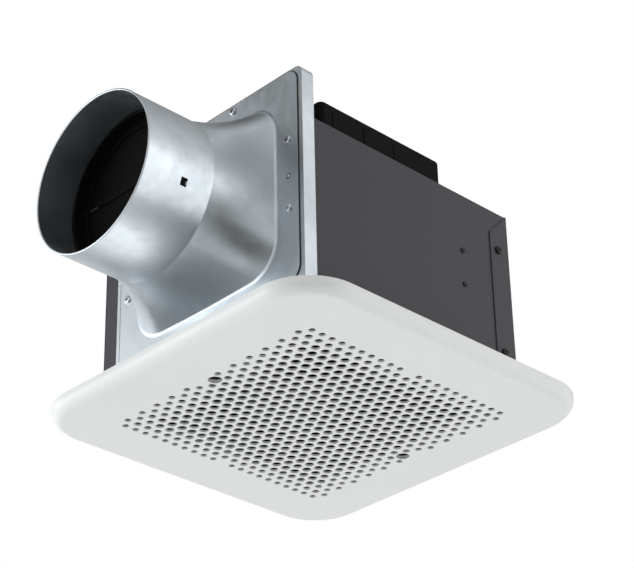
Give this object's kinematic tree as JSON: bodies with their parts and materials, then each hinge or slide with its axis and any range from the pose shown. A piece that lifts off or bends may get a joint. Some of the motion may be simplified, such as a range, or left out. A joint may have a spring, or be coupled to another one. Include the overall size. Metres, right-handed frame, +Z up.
{
  "type": "bathroom extractor fan",
  "caption": "Ceiling extractor fan: square perforated grille on springs, sheet housing with a drum impeller, and a round side duct collar with a damper.",
  "frame": {"origin": "middle of the four ceiling screws, on the ceiling's lower face", "axes": "+Z up into the ceiling void, -X along the duct, +Y towards the wiring side"},
  "size_m": [0.4345, 0.35, 0.244],
  "materials": {
    "white_moulding": "satin moulded, fine grain",
    "dark_paint": "satin dark grey baked paint",
    "galvanised_sheet": "bright zinc coating, fine spangle",
    "bright_screw": "bright zinc plate",
    "dark_screw": "dark grey paint",
    "black_plastic": "matt black",
    "impeller_plastic": "dark grey moulded",
    "motor_shell": "pressed shell, satin",
    "core_iron": "laminated iron",
    "copper_wire": "enamelled copper",
    "bearing_steel": "ground steel",
    "spring_wire": "drawn wire",
    "terminal_plastic": "ivory moulded",
    "terminal_brass": "plain brass",
    "capacitor_case": "pale grey moulded",
    "soft_rubber": "matt",
    "lead_sheath": "grey sheath",
    "damper_foam": "closed-cell foam"
  },
  "bodies": {
    "casing": {"housing_front": "dark_paint", "housing_top": "dark_paint", "side_near": "dark_paint", "side_far": "dark_paint", "rear_panel": "dark_paint", "panel_screws": "dark_screw", "side_rivets": "dark_screw", "casing_bracket": "galvanised_sheet", "front_frame": "galvanised_sheet", "duct_adaptor": "galvanised_sheet", "duct_collar": "galvanised_sheet", "adaptor_screws": "bright_screw", "orifice_plate": "dark_paint", "scroll_casing": "galvanised_sheet", "motor_plate": "galvanised_sheet", "motor_case_lower": "motor_shell", "motor_case_upper": "motor_shell", "motor_screws": "bright_screw", "stator": "core_iron", "stator_windings": "copper_wire", "bearing_lower": "bearing_steel", "bearing_upper": "bearing_steel", "top_cover": "black_plastic", "cover_screws": "bright_screw", "wiring_box": "galvanised_sheet", "wiring_cover": "galvanised_sheet", "wiring_screws": "bright_screw", "terminal_block": "terminal_plastic", "terminal_screws": "terminal_brass", "cable_bush": "black_plastic", "capacitor": "capacitor_case", "lead_grommet": "soft_rubber", "motor_lead": "lead_sheath", "damper_pin": "bearing_steel", "damper_frame": "black_plastic", "earth_screw": "terminal_brass", "spring_bracket_1": "galvanised_sheet", "spring_bracket_2": "galvanised_sheet", "bracket_rivets": "bright_screw"},
    "rotor": {"impeller_disc": "impeller_plastic", "impeller_blades": "impeller_plastic", "impeller_ring": "impeller_plastic", "rotor_core": "core_iron", "motor_shaft": "bearing_steel", "impeller_nut": "bearing_steel"},
    "damper": {"damper_flap": "black_plastic", "damper_gasket": "damper_foam"},
    "grille": {"grille": "white_moulding", "spring_coil_1": "spring_wire", "spring_coil_2": "spring_wire"},
    "spring_leg_1a": {"spring_leg_1a": "spring_wire"},
    "spring_leg_1b": {"spring_leg_1b": "spring_wire"},
    "spring_leg_2a": {"spring_leg_2a": "spring_wire"},
    "spring_leg_2b": {"spring_leg_2b": "spring_wire"}
  },
  "joints": [
    {"name": "rotor_spin", "type": "hinge", "parent": "casing", "child": "rotor", "pos_m": [0.012, 0.005, 0.11], "axis": [0, 0, 1], "continuous": true},
    {"name": "damper_swing", "type": "hinge", "parent": "casing", "child": "damper", "pos_m": [-0.213, -0.012, 0.13], "axis": [0, 1, 0], "range_deg": [0, 75]},
    {"name": "grille_drop", "type": "slide", "parent": "casing", "child": "grille", "axis": [0, 0, -1], "range_m": [0, 0.06], "stiffness_N_per_m": 120, "springref_m": -0.06},
    {"name": "leg_1a_fold", "type": "hinge", "parent": "grille", "child": "spring_leg_1a", "pos_m": [0, -0.1195, 0.002], "axis": [0, 1, 0], "range_deg": [-43, 0]},
    {"name": "leg_1b_fold", "type": "hinge", "parent": "grille", "child": "spring_leg_1b", "pos_m": [0, -0.1195, 0.002], "axis": [0, 1, 0], "range_deg": [0, 43]},
    {"name": "leg_2a_fold", "type": "hinge", "parent": "grille", "child": "spring_leg_2a", "pos_m": [0, 0.1195, 0.002], "axis": [0, 1, 0], "range_deg": [-43, 0]},
    {"name": "leg_2b_fold", "type": "hinge", "parent": "grille", "child": "spring_leg_2b", "pos_m": [0, 0.1195, 0.002], "axis": [0, 1, 0], "range_deg": [0, 43]}
  ],
  "couplings": [
    {"joint": "leg_1a_fold", "follows": "grille_drop", "rad_per_m": -12.5},
    {"joint": "leg_1b_fold", "follows": "grille_drop", "rad_per_m": 12.5},
    {"joint": "leg_2a_fold", "follows": "grille_drop", "rad_per_m": -12.5},
    {"joint": "leg_2b_fold", "follows": "grille_drop", "rad_per_m": 12.5}
  ]
}
